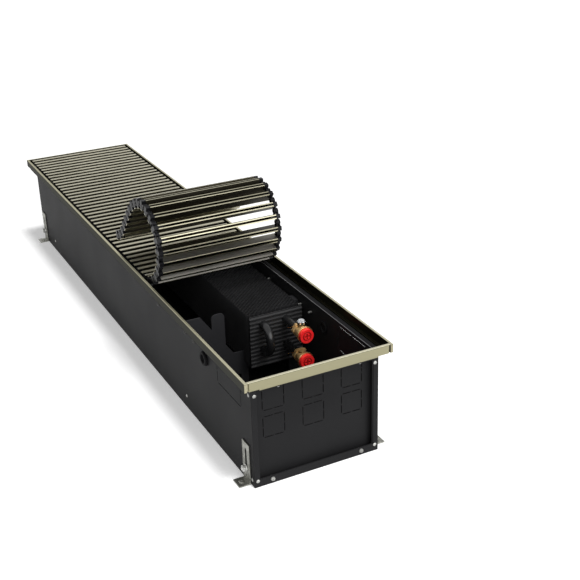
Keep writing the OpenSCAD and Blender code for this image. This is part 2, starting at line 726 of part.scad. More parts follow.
module foot_bolts() {
    color("#b5b5b3") both_sides() both_ends() translate([half_w, -foot_y, bolt_z]) {
        translate([-sheet, 0, 0]) rod_x(bolt_d, sheet + bolt_out);
        translate([-sheet - bolt_head_h, 0, 0]) rotate([0, 90, 0])
            cylinder(d = bolt_af / cos(30), h = bolt_head_h, $fn = 6);
    }
}
module foot_nuts() {
    color("#c4c4c2") both_sides() both_ends()
        translate([half_w + 2 * foot_gap + foot_t, -foot_y, bolt_z]) rotate([0, 90, 0]) difference() {
            union() {
                cylinder(d = 2 * bolt_d, h = washer_t);
                translate([0, 0, washer_t]) cylinder(d = bolt_af / cos(30), h = nut_h, $fn = 6);
            }
            translate([0, 0, -1]) cylinder(d = bolt_d + seat_play, h = washer_t + nut_h + 2);
        }
}

// -------------------------------------------------- roll-up grille

// slat as an upturned channel; its legs stop short of the end links
module slat() {
    w = slat_w / 2;
    h = slat_h / 2;
    slab_x(-leg_half, leg_half) polygon([[-w, -h], [-w + slat_toe, -h], [-w + slat_toe, -h + 1],
        [-w + slat_t, -h + 1], [-w + slat_t, h - slat_t], [w - slat_t, h - slat_t], [w - slat_t, -h + 1],
        [w - slat_toe, -h + 1], [w - slat_toe, -h], [w, -h], [w, h], [-w, h]]);
    translate([-slat_half, -w, h - slat_t]) cube([2 * slat_half, slat_w, slat_t]);
}
// end link: block under the slat's top, plug in the channel, tongue towards +Y, fork towards -Y
plug_l = 10;            // length of the plug in the channel
plug_rise = 3;          // height of the plug above the slat's lower edge
arm_cut = 2;            // how much lower an arm is than its boss
module link(tongue = true, fork = true) {
    h = slat_h / 2;
    ear = (link_l - 2 * fork_play) / 3.4;
    mid = link_l - 2 * ear - 2 * fork_play;
    arm_h = boss_d - arm_cut;
    translate([leg_half, -slat_w / 2, -h]) cube([link_l, slat_w, slat_h - slat_t]);
    translate([leg_half - plug_l, -slat_w / 2 + slat_toe + seat_play, -h + plug_rise])
        cube([plug_l, slat_w - 2 * (slat_toe + seat_play), slat_h - slat_t - plug_rise]);
    if (tongue) translate([leg_half + ear + fork_play, 0, 0]) difference() {
        union() {
            translate([0, slat_w / 2, -arm_h / 2]) cube([mid, (pitch - slat_w) / 2, arm_h]);
            translate([0, pitch / 2, 0]) rod_x(boss_d, mid);
        }
        translate([-1, pitch / 2, 0]) rod_x(pin_d + pin_play, mid + 2);
    }
    if (fork) {
        for (x = [0, link_l - ear]) translate([leg_half + x, 0, 0]) {
            translate([0, -pitch / 2, -arm_h / 2]) cube([ear, (pitch - slat_w) / 2, arm_h]);
            translate([0, -pitch / 2, 0]) rod_x(boss_d, ear);
        }
        translate([leg_half, -pitch / 2, 0]) rod_x(pin_d, link_l);
    }
}
module link_pair(tongue = true, fork = true) { both_sides() link(tongue, fork); }

module grille_slats() {
    color("#b9b49c") for (k = [roll_count:slat_count - 1])
        translate([0, first_slat_y + k * pitch, slat_z]) slat();
}
module grille_links() {
    color("#1b1b1c") for (k = [roll_count:slat_count - 1])
        translate([0, first_slat_y + k * pitch, slat_z]) link_pair(tongue = k < slat_count - 1);
}

// slope of rolled slat j and the place of its hinge pin, in Y and Z
function slope(j) = j == 0 ? turns[0] : slope(j - 1) + turns[j];
function hinge(j) = j == 0 ? [hinge_y, slat_z]
    : hinge(j - 1) + pitch * [-cos(slope(j - 1)), sin(slope(j - 1))];

// slat number n of the roll, counted from the flat part, with its two end links
module roll_slat(n) {
    j = n - 1;
    translate([0, hinge(j)[0], hinge(j)[1]]) rotate([-slope(j), 0, 0]) translate([0, -pitch / 2, 0]) {
        color("#b9b49c") slat();
        color("#1b1b1c") link_pair(fork = n < roll_count);
    }
}

trough();
end_plate_near();
end_plate_far();
rail_left();
rail_right();
rail_near();
rail_far();
casing_rivets();
casing_screws();
cable_grommets();
floor_joint_strip();
bracket_near();
bracket_far();
fin_pack();
end_fin_near();
end_fin_far();
water_tubes();
return_bend_near();
return_bends_far();
union_nuts();
tee_upper();
tee_lower();
air_vent();
air_vent_screw();
blanking_plug();
dust_cap_upper();
dust_cap_lower();
foot_near_left();
foot_near_right();
foot_far_left();
foot_far_right();
foot_bolts();
foot_nuts();
grille_slats();
grille_links();
roll_slat(1);  // roll_slat_01
roll_slat(2);  // roll_slat_02
roll_slat(3);  // roll_slat_03
roll_slat(4);  // roll_slat_04
roll_slat(5);  // roll_slat_05
roll_slat(6);  // roll_slat_06
roll_slat(7);  // roll_slat_07
roll_slat(8);  // roll_slat_08
roll_slat(9);  // roll_slat_09
roll_slat(10);  // roll_slat_10
roll_slat(11);  // roll_slat_11
roll_slat(12);  // roll_slat_12
roll_slat(13);  // roll_slat_13
roll_slat(14);  // roll_slat_14
roll_slat(15);  // roll_slat_15
roll_slat(16);  // roll_slat_16
roll_slat(17);  // roll_slat_17
roll_slat(18);  // roll_slat_18
roll_slat(19);  // roll_slat_19
roll_slat(20);  // roll_slat_20
roll_slat(21);  // roll_slat_21
roll_slat(22);  // roll_slat_22
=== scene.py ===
# %% [markdown]
# # A trench convector heater with a roll-up grille
#
# This notebook builds the looks of a long steel trench that lies in a floor: a black casing, a
# champagne aluminium frame, a finned exchanger, brass fittings with red caps, and a grille of
# slats that rolls up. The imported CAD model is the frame. Every piece made here sits exactly where
# the CAD says.

# %% Load the frame
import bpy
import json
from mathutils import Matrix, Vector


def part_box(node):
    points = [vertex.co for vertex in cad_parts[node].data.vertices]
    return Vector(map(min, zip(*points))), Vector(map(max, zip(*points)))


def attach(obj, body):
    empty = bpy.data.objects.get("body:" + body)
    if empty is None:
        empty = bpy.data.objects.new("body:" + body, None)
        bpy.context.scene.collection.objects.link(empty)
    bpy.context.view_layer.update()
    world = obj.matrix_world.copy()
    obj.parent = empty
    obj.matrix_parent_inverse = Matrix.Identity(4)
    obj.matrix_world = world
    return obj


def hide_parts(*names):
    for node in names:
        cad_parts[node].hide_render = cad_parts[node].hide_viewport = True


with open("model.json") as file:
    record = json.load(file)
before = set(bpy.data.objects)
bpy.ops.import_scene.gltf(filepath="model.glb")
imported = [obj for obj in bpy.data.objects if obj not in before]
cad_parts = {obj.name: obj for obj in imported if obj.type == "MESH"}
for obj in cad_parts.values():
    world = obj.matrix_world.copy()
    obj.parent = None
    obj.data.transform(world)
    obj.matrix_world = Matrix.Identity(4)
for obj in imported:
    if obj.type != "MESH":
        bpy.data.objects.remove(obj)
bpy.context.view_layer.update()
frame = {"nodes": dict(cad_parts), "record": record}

import json
import math

import bmesh
import bpy
from mathutils import Matrix, Vector

MM = 0.001
record = frame["record"]
body_of = {node: body for body, nodes in record["behaviour"]["bodies"].items() for node in nodes}

# %% [markdown]
# ## The camera
#
# The photograph looks down the trench from its left front corner, a little tilted. A camera could
# be placed by eye, but here the aim point, the distance and the lens were found by laying the
# known corners of the casing and the frame over the photograph.

# %% Place the camera
AIM = Vector((0.145, -0.2285, 0.125))
DISTANCE = 1.940
TURN, RISE, TILT = (math.radians(a) for a in (-26.4, 24.71, -1.75))
LENS, SENSOR = 64.87, 36                # millimetres
FARTHEST = 50                           # metres, where the camera's view ends

away = Vector((math.sin(TURN) * math.cos(RISE), -math.cos(TURN) * math.cos(RISE), math.sin(RISE)))
camera = bpy.data.objects.new("camera", bpy.data.cameras.new("camera"))
bpy.context.scene.collection.objects.link(camera)
looking = away.to_track_quat("Z", "Y").to_matrix() @ Matrix.Rotation(TILT, 3, "Z")
camera.matrix_world = Matrix.Translation(AIM + away * DISTANCE) @ looking.to_4x4()
camera.data.lens = LENS
camera.data.sensor_width = SENSOR
camera.data.clip_end = FARTHEST
bpy.context.scene.camera = camera
print("camera at", [round(v, 3) for v in camera.location])

# %% [markdown]
# ## Materials
#
# Each finish is one Principled shader with its pattern from noise on Object coordinates, so that
# it stays on the metal when a piece moves. A picture could be wrapped round each piece instead,
# but noise needs no picture and no unwrapping, and its scale is a real size. Colours are written
# as sRGB hex, as they are seen, and one function turns them to the linear values that the shader
# wants. One function adds a node with its values and links. Some sockets are given by number: a
# Mix node keeps its two colours at 6 and 7 and their mix at 2, and a Map Range node keeps the ends
# of its input at 1 and 2 and those of its result at 3 and 4.

# %% Colour and node helpers
def linear(code):
    """An sRGB hex colour as linear RGBA."""
    parts = [int(code[i:i + 2], 16) / 255 for i in (1, 3, 5)]
    return tuple(c / 12.92 if c <= 0.04045 else ((c + 0.055) / 1.055) ** 2.4 for c in parts) + (1,)


def add(tree, kind, inputs=None, **settings):
    """Adds a node; an input is a value, or another node's output to link."""
    node = tree.nodes.new("ShaderNode" + kind)
    for key, value in settings.items():
        setattr(node, key, value)
    for key, value in (inputs or {}).items():
        if isinstance(value, bpy.types.NodeSocket):
            tree.links.new(value, node.inputs[key])
        else:
            node.inputs[key].default_value = value
    return node


def start(name, metallic, roughness):
    """A new material: its tree, its shader and its Object coordinates."""
    material = bpy.data.materials.new(name)
    material.use_nodes = True
    tree = material.node_tree
    shader = tree.nodes["Principled BSDF"]
    shader.inputs["Metallic"].default_value = metallic
    shader.inputs["Roughness"].default_value = roughness
    place = add(tree, "TexCoord").outputs["Object"]
    return material, tree, shader, place

# %% [markdown]
# ### Powder-coated steel
#
# The casing is galvanised sheet with a baked matt black powder coat. Seen close it has an even
# orange peel of about a millimetre, and broad soft changes of sheen where the coat is thicker. The
# peel is too shallow to model, so fine noise draws it as bump, and a wide noise moves the colour
# and the roughness a little. The same recipe, with other values, gives the pale painted highlight
# on the folds, the brackets, the painted fins, the enamelled tube, and the near-black painted shade
# on the walls of laser cuts.

# %% Powder-coated steel
CLOUD = 9.0                             # changes of sheen about 110 mm wide
PEEL, PEEL_DEPTH = 1100.0, 0.04 * MM    # grains 0.9 mm wide; a third of the depth is used


def powder_coat(name, dark, light, rough, shine):
    """Baked powder on steel; shine is its specular level."""
    material, tree, shader, place = start(name, 0.0, rough)
    shader.inputs["Specular IOR Level"].default_value = shine
    broad = add(tree, "TexNoise", {"Vector": place, "Scale": CLOUD, "Detail": 3.0})
    tint = add(tree, "Mix", {0: broad.outputs["Fac"], 6: linear(dark), 7: linear(light)},
               data_type="RGBA")
    tree.links.new(tint.outputs[2], shader.inputs["Base Color"])
    sheen = add(tree, "MapRange", {0: broad.outputs["Fac"], 3: rough - 0.07, 4: rough + 0.07})
    tree.links.new(sheen.outputs[0], shader.inputs["Roughness"])
    peel = add(tree, "TexNoise", {"Vector": place, "Scale": PEEL, "Detail": 2.0})
    bump = add(tree, "Bump", {"Height": peel.outputs["Fac"], "Strength": 0.35,
                              "Distance": PEEL_DEPTH})
    tree.links.new(bump.outputs[0], shader.inputs["Normal"])
    return material


casing_coat = powder_coat("powder_coated_steel", "#1e1e1f", "#262627", 0.5, 0.05)
# the folds' pale grey is a painted highlight
fold_painted_highlight = powder_coat("powder_coat_painted_fold_highlight", "#747476", "#8c8c8e", 0.45, 0.3)
bracket_coat = powder_coat("powder_coated_bracket", "#252527", "#303032", 0.42, 0.2)
fin_coat = powder_coat("painted_fins", "#1f1f20", "#2d2d2e", 0.40, 0.3)
# the cut walls' near black is painted shade
cut_wall_painted_shade = powder_coat("painted_shade_on_cut_walls", "#060606", "#0c0c0c", 0.7, 0.1)
pipe_coat = powder_coat("black_enamelled_tube", "#171718", "#1f1f20", 0.24, 0.4)
print("powder coats made")

# %% [markdown]
# ### Anodised aluminium
#
# The frame and the slats are extruded aluminium, anodised in a light champagne tone. Extrusion
# leaves faint lines along the length, and the anodic film makes a satin, not a mirror. An
# anisotropic shader could give the satin but not the lines, so they are noise stretched along one
# axis: a short period across the profile and a very long one along it. A slat has a bright top, a
# duller side and a nearly black channel inside, that near black being painted shade. The sides
# come as a lit and a shaded copy of one finish: paler painted light on sides that face the light,
# and darker painted shade on those that lie in shade.

# %% Anodised aluminium
LINES_ACROSS, LINES_ALONG = 1500.0, 6.0     # 0.7 mm apart, coarse enough to show, 170 mm long


def anodised(name, dark, light, rough, along):
    """Extruded aluminium with its lines along this axis."""
    material, tree, shader, place = start(name, 1.0, rough)
    fine = [LINES_ACROSS] * 3
    fine["xyz".index(along)] = LINES_ALONG
    stretched = add(tree, "Mapping", {"Vector": place, "Scale": fine})
    lines = add(tree, "TexNoise", {"Vector": stretched.outputs[0], "Scale": 1.0, "Detail": 2.0})
    broad = add(tree, "TexNoise", {"Vector": place, "Scale": 14.0, "Detail": 2.0})
    both = add(tree, "Math", {0: lines.outputs["Fac"], 1: broad.outputs["Fac"]},
               operation="MULTIPLY")
    spread = add(tree, "MapRange", {0: both.outputs[0], 1: 0.1, 2: 0.45})
    tint = add(tree, "Mix", {0: spread.outputs[0], 6: linear(dark), 7: linear(light)},
               data_type="RGBA")
    tree.links.new(tint.outputs[2], shader.inputs["Base Color"])
    satin = add(tree, "MapRange", {0: lines.outputs["Fac"], 3: rough - 0.06, 4: rough + 0.1})
    tree.links.new(satin.outputs[0], shader.inputs["Roughness"])
    bump = add(tree, "Bump", {"Height": lines.outputs["Fac"], "Strength": 0.2,
                              "Distance": 0.00002})
    tree.links.new(bump.outputs[0], shader.inputs["Normal"])
    return material


rail_along = anodised("anodised_aluminium_long", "#8d876f", "#aaa58c", 0.36, "y")
rail_across = anodised("anodised_aluminium_end", "#8d876f", "#aaa58c", 0.36, "x")
slat_metal = anodised("anodised_aluminium_slat", "#9a9680", "#b3af99", 0.29, "x")
# slat sides: a paler painted-light copy and a darker painted-shade copy; the channel is painted
# shade
slat_flank_painted_light = anodised("anodised_aluminium_slat_flank_painted_light", "#7a7871", "#94918a", 0.46, "x")
slat_flank_painted_shade = anodised("anodised_aluminium_slat_flank_painted_shade", "#2f2c21", "#45423a", 0.45, "x")
slat_channel_painted_shade = anodised("aluminium_slat_channel_painted_shade", "#17150d", "#232016", 0.45, "x")
print("aluminium made")

# %% [markdown]
# A rail is painted with light and shade by its place in the profile. The lip on top gets a painted
# highlight, and a fine dark line parts it from the face. The inside of the rail lies in the
# trench's shade and gets painted shade, and the outer faces and feet get a painted shade, darker on
# the long rails than on the end rails. Faces could have materials of their own, but the line is
# only a strip of one face. So each row of the table below is a test on the Object coordinates and
# the shade where it holds, and a later row covers an earlier one. A metal's Specular Tint is its
# colour at a grazing angle. The long rails have a grey one, painted shade on their reflection,
# because the photograph looks along them and they stay dark to the far end.

# %% Painted light and shade on the rails
FOOT_TOP = 179 * MM                     # the rail's foot lies below the head
LINE_LOW = 192.6 * MM                   # the dark line runs from here up to the lip
LIP_LOW = 193.6 * MM
FACE_DEPTH = 0.2 * MM
HEAD_WIDTH = 4.3 * MM
# the lip's bright tone is a painted highlight, the inside's dark tone painted shade
DARK_LINE, LIP_PAINTED_HIGHLIGHT, INSIDE = "#6f6c5a", "#c6c2aa", "#3a382e"


def shaded(material, across, edge, outer):
    """Paints highlight and shade on a rail by its profile, its outer face at edge along the axis
    across.
    """
    tree = material.node_tree
    colour = tree.nodes["Principled BSDF"].inputs["Base Color"]
    place = add(tree, "SeparateXYZ", {0: add(tree, "TexCoord").outputs["Object"]})
    reach = add(tree, "Math", {0: place.outputs[across]}, operation="ABSOLUTE").outputs[0]
    height = place.outputs["Z"]
    table = ((reach, "GREATER_THAN", edge - FACE_DEPTH, outer),
             (height, "LESS_THAN", FOOT_TOP, outer),
             (height, "GREATER_THAN", LINE_LOW, DARK_LINE),
             (height, "GREATER_THAN", LIP_LOW, LIP_PAINTED_HIGHLIGHT),
             (reach, "LESS_THAN", edge - HEAD_WIDTH, INSIDE))
    for value, test, limit, shade in table:
        mask = add(tree, "Math", {0: value, 1: limit}, operation=test)
        before = colour.links[0].from_socket
        mixed = add(tree, "Mix", {0: mask.outputs[0], 6: before, 7: linear(shade)},
                    data_type="RGBA")
        tree.links.new(mixed.outputs[2], colour)


# outer faces and feet take painted shade: dark on the long rails, milder on the end rails
shaded(rail_along, "X", 125 * MM, "#4e4e4b")
shaded(rail_across, "Y", 616 * MM, "#8f8b71")
# a grey grazing tint: painted shade on the long rails' reflection
grazing = rail_along.node_tree.nodes["Principled BSDF"].inputs["Specular Tint"]
grazing.default_value = linear("#a9a9a7")
print("rails shaded")

# %% [markdown]
# ### Zinc, brass and chrome
#
# The feet are zinc-plated strip, which shows pale crystals a few millimetres wide. Soft noise has
# no edges, but a Voronoi pattern gives each cell a brightness of its own, as each crystal has. The
# bolts are the brightest of the small zinc parts, the screws of the long walls the dullest. Turned
# brass has fine rings from the tool, which are a wave as bump, and a cloud in its warm colour. The
# air vent is nickel and chrome, nearly a mirror.

# %% Plated and turned metals
CRYSTALS = 250.0                        # 4 mm wide
TOOL_MARKS = 320.0                      # rings 1 mm apart


def zinc(name, dark, light, rough):
    """Zinc plate with its crystals."""
    material, tree, shader, place = start(name, 1.0, rough)
    flakes = add(tree, "TexVoronoi", {"Vector": place, "Scale": CRYSTALS, "Randomness": 1.0})
    value = add(tree, "SeparateColor", {"Color": flakes.outputs["Color"]})
    cloud = add(tree, "TexNoise", {"Vector": place, "Scale": 120.0, "Detail": 4.0})
    both = add(tree, "Math", {0: value.outputs[0], 1: cloud.outputs["Fac"]}, operation="MULTIPLY")
    tint = add(tree, "Mix", {0: both.outputs[0], 6: linear(dark), 7: linear(light)},
               data_type="RGBA")
    tree.links.new(tint.outputs[2], shader.inputs["Base Color"])
    satin = add(tree, "MapRange", {0: both.outputs[0], 3: rough + 0.1, 4: rough - 0.08})
    tree.links.new(satin.outputs[0], shader.inputs["Roughness"])
    return material


def turned(name, dark, light, rough):
    """A metal turned on a lathe, its rings round the trench's length."""
    material, tree, shader, place = start(name, 1.0, rough)
    marks = add(tree, "TexWave", {"Vector": place, "Scale": TOOL_MARKS, "Distortion": 1.5,
                                  "Detail": 1.0}, wave_type="BANDS", bands_direction="Y")
    cloud = add(tree, "TexNoise", {"Vector": place, "Scale": 160.0, "Detail": 3.0})
    tint = add(tree, "Mix", {0: cloud.outputs["Fac"], 6: linear(dark), 7: linear(light)},
               data_type="RGBA")
    tree.links.new(tint.outputs[2], shader.inputs["Base Color"])
    satin = add(tree, "MapRange", {0: cloud.outputs["Fac"], 3: rough - 0.05, 4: rough + 0.1})
    tree.links.new(satin.outputs[0], shader.inputs["Roughness"])
    bump = add(tree, "Bump", {"Height": marks.outputs["Fac"], "Strength": 0.12,
                              "Distance": 0.00002})
    tree.links.new(bump.outputs[0], shader.inputs["Normal"])
    return material


zinc_plate = zinc("zinc_plated_steel", "#7d7d77", "#b4b4ac", 0.38)
screw_steel = zinc("bright_zinc_fasteners", "#8c8c89", "#cfcfcb", 0.4)
dull_steel = zinc("dull_zinc_fasteners", "#3c3c3b", "#646462", 0.5)
bolt_steel = zinc("bright_zinc_bolts", "#b4b4b0", "#ececea", 0.3)
brass = turned("turned_brass", "#d8ab6a", "#f6d8a2", 0.38)
chrome = turned("chromed_brass", "#8d9094", "#eceef0", 0.1)
print("plated metals made")

# %% [markdown]
# ### Plastics and rubber
#
# The links that join the slats are black glass-filled nylon, with a slight grain that breaks its
# highlights. The dust caps are red polyethylene: waxy, with a soft, wide highlight and a little
# light scattered inside. A deeper red is kept for what is pressed into them. The grommets are
# rubber. The grain is noise as bump, drawn coarser than the real one so that it shows: a scale of
# 900 makes it 1.1 mm wide, and 1800 half of that.

# %% Plastics and rubber
def moulded(name, dark, light, rough, grain, depth, shine=0.5):
    """A moulded plastic; grain is the noise's scale and depth its height in metres."""
    material, tree, shader, place = start(name, 0.0, rough)
    shader.inputs["Specular IOR Level"].default_value = shine
    cloud = add(tree, "TexNoise", {"Vector": place, "Scale": 90.0, "Detail": 3.0})
    tint = add(tree, "Mix", {0: cloud.outputs["Fac"], 6: linear(dark), 7: linear(light)},
               data_type="RGBA")
    tree.links.new(tint.outputs[2], shader.inputs["Base Color"])
    skin = add(tree, "TexNoise", {"Vector": place, "Scale": grain, "Detail": 2.0})
    worn = add(tree, "MapRange", {0: cloud.outputs["Fac"], 3: rough - 0.08, 4: rough + 0.08})
    tree.links.new(worn.outputs[0], shader.inputs["Roughness"])
    bump = add(tree, "Bump", {"Height": skin.outputs["Fac"], "Strength": 0.3, "Distance": depth})
    tree.links.new(bump.outputs[0], shader.inputs["Normal"])
    return material


link_nylon = moulded("black_nylon", "#0e0e10", "#18181b", 0.34, 1800.0, 0.00003, 0.14)
cap_recess = moulded("red_polyethylene_recess", "#9a0f10", "#b01716", 0.5, 900.0, 0.00003, 0.2)
cap_plastic = moulded("red_polyethylene", "#f81c20", "#ff3434", 0.36, 900.0, 0.00003)
cap_shader = cap_plastic.node_tree.nodes["Principled BSDF"]
cap_shader.inputs["Subsurface Weight"].default_value = 0.08
cap_shader.inputs["Subsurface Scale"].default_value = 2 * MM
rubber = moulded("black_rubber", "#08080a", "#0f0f10", 0.7, 1400.0, 0.00004, 0.12)
print("plastics made")

# %% [markdown]
# ## How a piece is finished
#
# A bmesh becomes an object here. Flat shading would show every facet of a tube, and smooth shading
# alone would make a flat sheet look swollen. So a piece gets smooth shading, sharp where two faces
# meet at a steep angle, and a Weighted Normal modifier keeps the flats flat beside narrow bevels.
# It then rides on the CAD body that its node belongs to.

# %% Turn a bmesh into a piece
SHARP = math.radians(38)


def piece(name, bm, material, node, outward=False):
    """An object from a bmesh; outward says that its faces point out already.

    A list of materials is for faces that have an index of their own.
    """
    if not outward:
        bmesh.ops.recalc_face_normals(bm, faces=bm.faces)
    mesh = bpy.data.meshes.new(name)
    bm.to_mesh(mesh)
    bm.free()
    for finish in material if isinstance(material, list) else [material]:
        mesh.materials.append(finish)
    mesh.shade_smooth()
    mesh.set_sharp_from_angle(angle=SHARP)
    made = bpy.data.objects.new(name, mesh)
    bpy.context.scene.collection.objects.link(made)
    made.modifiers.new("flat_faces", "WEIGHTED_NORMAL").keep_sharp = True
    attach(made, body_of[node])
    return made

# %% [markdown]
# ## Sheet metal with real edges
#
# A folded or cut sheet never has a knife edge: powder coat and pressing round it by a few tenths
# of a millimetre, and that edge is what catches the light. The sheets could be modelled anew, but
# the CAD nodes already have the right shape, with every slot and hole. So a copy of each is merged
# into whole faces, and its steep edges are rounded. The CAD node itself isn't touched. The trench
# is folded from one big sheet, so its edges are rounder.

# %% Round the steep edges
def bevel(bm, edges, width, segments=2):
    """Rounds these edges."""
    bmesh.ops.bevel(bm, geom=list(edges), offset=width, offset_type="OFFSET", affect="EDGES",
                    segments=segments, profile=0.5, material=-1, clamp_overlap=False)


def steep(bm, degrees=35):
    """The edges where two faces meet at more than this angle."""
    limit = math.radians(degrees)
    return [e for e in bm.edges if len(e.link_faces) == 2 and e.calc_face_angle(0) > limit]

# %% Soften a copy of a CAD node
SAME_POINT = 0.002 * MM
SAME_PLANE = math.radians(0.6)


def softened(node, width, material):
    """A copy of a CAD node with whole faces and rounded edges, which stands for it."""
    bm = bmesh.new()
    bm.from_mesh(frame["nodes"][node].data)
    bmesh.ops.remove_doubles(bm, verts=bm.verts, dist=SAME_POINT)
    bmesh.ops.dissolve_limit(bm, angle_limit=SAME_PLANE, use_dissolve_boundaries=False,
                             verts=bm.verts, edges=bm.edges, delimit=set())
    if width:
        bevel(bm, steep(bm), width)
    made = piece(node + "_looks", bm, material, node, outward=True)
    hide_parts(node)
    print(made.name, len(made.data.polygons))
    return made.data

# %% The sheets and the rails
SHEET_EDGE, TROUGH_EDGE = 0.3 * MM, 0.6 * MM
SHEETS = {"end_plate_near": casing_coat, "end_plate_far": casing_coat,
          "floor_joint_strip": casing_coat, "bracket_near": bracket_coat,
          "bracket_far": bracket_coat, "rail_left": rail_along, "rail_right": rail_along,
          "rail_near": rail_across, "rail_far": rail_across}
trough = softened("trough", TROUGH_EDGE, casing_coat)
sheets = {node: softened(node, SHEET_EDGE, material) for node, material in SHEETS.items()}

# %% [markdown]
# The fold between each side wall and its flange gets a pale grey finish that shines. It is a
# painted highlight where the fold catches the light. The folds could be pieces of their own, but a
# second finish on some faces leaves the sheet whole. They are the faces near the top of the trench
# that are neither level nor upright.

# %% Painted highlight on the folds along the trench
WALL_X = 109 * MM                       # a side wall's outer face
FOLD_LOW = 174.4 * MM


def refinished(mesh, finish, faces):
    """Gives these faces of a mesh its second finish."""
    mesh.materials.append(finish)
    for p in faces:
        p.material_index = 1


folds = [p for p in trough.polygons if p.center.z > FOLD_LOW
         and 0.25 < abs(p.normal.x) < 0.97 and abs(p.center.x) < WALL_X - 0.4 * MM]
refinished(trough, fold_painted_highlight, folds)
print("fold faces:", len(folds))

# %% [markdown]
# The knock-outs are squares that a laser has cut all round, apart from narrow webs that hold them.
# The walls of the slits have no coat and lie in shade. A dark line could be drawn on the sheet, but
# the slits are real, so their walls get a finish of their own, a near-black painted shade. They are
# the faces that don't face along Y.

# %% Painted shade in the cuts round the knock-outs
CUTS_HALF = 90 * MM                     # the area that holds all six squares
CUTS_LOW, CUTS_HIGH = 70 * MM, 162 * MM
for end in ("near", "far"):
    plate = sheets["end_plate_" + end]
    cuts = [p for p in plate.polygons if abs(p.normal.y) < 0.98
            and abs(p.center.x) < CUTS_HALF and CUTS_LOW < p.center.z < CUTS_HIGH]
    refinished(plate, cut_wall_painted_shade, cuts)
    print(end, "cut faces:", len(cuts))

# %% [markdown]
# The feet, the fittings and the caps are thicker or turned, so each has an edge radius of its own,
# in millimetres. The rivets and the straight tubes have no edge that needs one.

# %% Soften the thicker pieces
SOLID = {"foot_near_left": (0.35, zinc_plate), "foot_near_right": (0.35, zinc_plate),
         "foot_far_left": (0.35, zinc_plate), "foot_far_right": (0.35, zinc_plate),
         "casing_rivets": (0, screw_steel), "casing_screws": (0.15, screw_steel),
         "foot_nuts": (0.3, bolt_steel), "cable_grommets": (0.4, rubber),
         "end_fin_near": (0.25, fin_coat), "end_fin_far": (0.25, fin_coat),
         "water_tubes": (0, pipe_coat), "union_nuts": (0.5, brass), "tee_upper": (0.5, brass),
         "tee_lower": (0.5, brass), "blanking_plug": (0.3, brass),
         "air_vent_screw": (0.25, chrome), "dust_cap_upper": (0.35, cap_plastic),
         "dust_cap_lower": (0.35, cap_plastic)}
solids = {node: softened(node, width * MM, material)
          for node, (width, material) in SOLID.items()}

# %% [markdown]
# The screws on the long walls are duller than those on the end plates, and hardly show on the
# black coat.

# %% Dull screws on the long walls
screws = solids["casing_screws"]
on_walls = [p for p in screws.polygons if abs(p.center.x) > WALL_X]
refinished(screws, dull_steel, on_walls)
print("dull screw faces:", len(on_walls))

# %% [markdown]
# A ring and a cross are pressed into each dust cap's face. Less light comes into them, so the
# faces behind the cap's front, within the ring, get a deeper red.

# %% The pressed ring and cross of the caps
RING_REACH = 9 * MM
PRESSED = (0.2 * MM, 2.4 * MM)          # behind the cap's front
for level in ("upper", "lower"):
    cap = solids["dust_cap_" + level]
    cap_low, cap_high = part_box("dust_cap_" + level)
    cap_x, cap_z = ((cap_low[i] + cap_high[i]) / 2 for i in (0, 2))
    pressed = [p for p in cap.polygons if PRESSED[0] < p.center.y - cap_low[1] < PRESSED[1]
               and math.hypot(p.center.x - cap_x, p.center.z - cap_z) < RING_REACH]
    refinished(cap, cap_recess, pressed)
    print(level, "cap, pressed faces:", len(pressed))

# %% [markdown]
# ## The finned exchanger
#
# Water runs through four tubes, and hundreds of thin painted fins on them warm the air. From
# above, the fins' pressed waves meet in pairs and look like a diamond mesh. The CAD has flat fins
# at a wide spacing. A block with a mesh drawn on it would have fewer faces, but no depth between
# the fins. So each fin is a row of points drawn as a zigzag, pulled up into a sheet and given its
# thickness. A pair of opposite zigzags is then copied along the tubes.

# %% Wavy fins
FIN_PITCH = 4.0 * MM
FIN_SHEET = 0.45 * MM
FIN_WAVE = 1.72 * MM                    # from a fin's middle plane to a fold
FOLDS = 24
low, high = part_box("fin_pack")


def points_of(geom):
    """The points among what an operator has made."""
    return [v for v in geom if isinstance(v, bmesh.types.BMVert)]


def wavy_fin(bm, y, side):
    """One fin at y, its first fold to this side."""
    step = (high[0] - low[0]) / FOLDS
    row = [bm.verts.new((low[0] + i * step, y + side * FIN_WAVE * (-1) ** i, low[2]))
           for i in range(FOLDS + 1)]
    edges = [bm.edges.new(pair) for pair in zip(row, row[1:])]
    up = bmesh.ops.extrude_edge_only(bm, edges=edges)["geom"]
    bmesh.ops.translate(bm, vec=(0, 0, high[2] - low[2]), verts=points_of(up))


bm = bmesh.new()
wavy_fin(bm, 0, 1)
wavy_fin(bm, FIN_PITCH, -1)
bmesh.ops.solidify(bm, geom=bm.faces[:], thickness=FIN_SHEET)
first_pair = bm.verts[:] + bm.edges[:] + bm.faces[:]
print("faces of a pair of fins:", len(bm.faces))

# %% Copy the pair along the tubes
pairs = int((high[1] - low[1] - 2 * FIN_WAVE - 2 * FIN_PITCH) / (2 * FIN_PITCH)) + 1
begin = (low[1] + high[1] - (2 * pairs - 1) * FIN_PITCH) / 2
bmesh.ops.translate(bm, vec=(0, begin, 0), verts=bm.verts[:])
for i in range(1, pairs):
    copy = bmesh.ops.duplicate(bm, geom=first_pair)["geom"]
    bmesh.ops.translate(bm, vec=(0, 2 * FIN_PITCH * i, 0), verts=points_of(copy))
fins = piece("fin_stack", bm, fin_coat, "fin_pack")
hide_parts("fin_pack")
print("fins:", 2 * pairs, "faces:", len(fins.data.polygons))

# %% [markdown]
# ## Return bends
#
# Each bend is a tube bent through half a turn. The CAD's own bends could be used, but they are
# thousands of uneven triangles. A circle that is spun about the bend's centre gives the same tube
# in a few even bands of faces, and the two open ends run into the fins.

# %% Spin the bend at the near end
TUBE = 7.5 * MM                         # outer radius of a water tube
BEND_STEPS = 28


